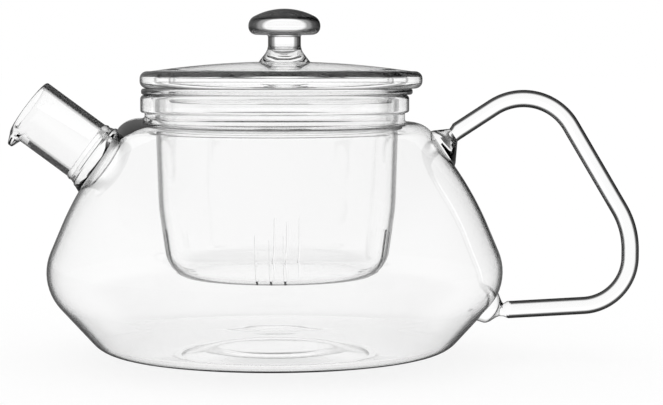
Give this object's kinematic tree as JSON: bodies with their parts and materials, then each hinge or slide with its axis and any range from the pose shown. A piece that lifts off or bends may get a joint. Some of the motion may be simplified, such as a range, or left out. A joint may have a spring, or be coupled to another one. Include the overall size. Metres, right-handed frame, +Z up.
{
  "type": "glass teapot",
  "caption": "Clear glass teapot with a straight slanted spout, a bent-rod loop handle, a lift-out glass infuser and a loose domed lid with a solid glass knob.",
  "frame": {"origin": "middle of the flat ring that the pot stands on, at the table", "axes": "+Z up along the pot's axis, +X towards the handle, -X towards the spout, +Y to the back"},
  "size_m": [0.2396, 0.1726, 0.1321],
  "materials": {
    "clear_glass": "clear, fire-polished lampworked glass"
  },
  "bodies": {
    "pot": {"pot_body": "clear_glass", "neck_rim": "clear_glass", "spout_tube": "clear_glass", "spout_weld": "clear_glass", "handle_rod": "clear_glass", "handle_upper_foot": "clear_glass", "handle_lower_foot": "clear_glass"},
    "infuser": {"infuser_cup": "clear_glass", "infuser_flange": "clear_glass"},
    "lid": {"lid_plate": "clear_glass", "lid_edge": "clear_glass", "lid_collar": "clear_glass", "knob_stem": "clear_glass", "knob_cap": "clear_glass"}
  },
  "joints": [
    {"name": "infuser_lift", "type": "slide", "parent": "pot", "child": "infuser", "axis": [0, 0, 1], "range_m": [0, 0.08]},
    {"name": "lid_lift", "type": "slide", "parent": "infuser", "child": "lid", "axis": [0, 0, 1], "range_m": [0, 0.045]}
  ]
}
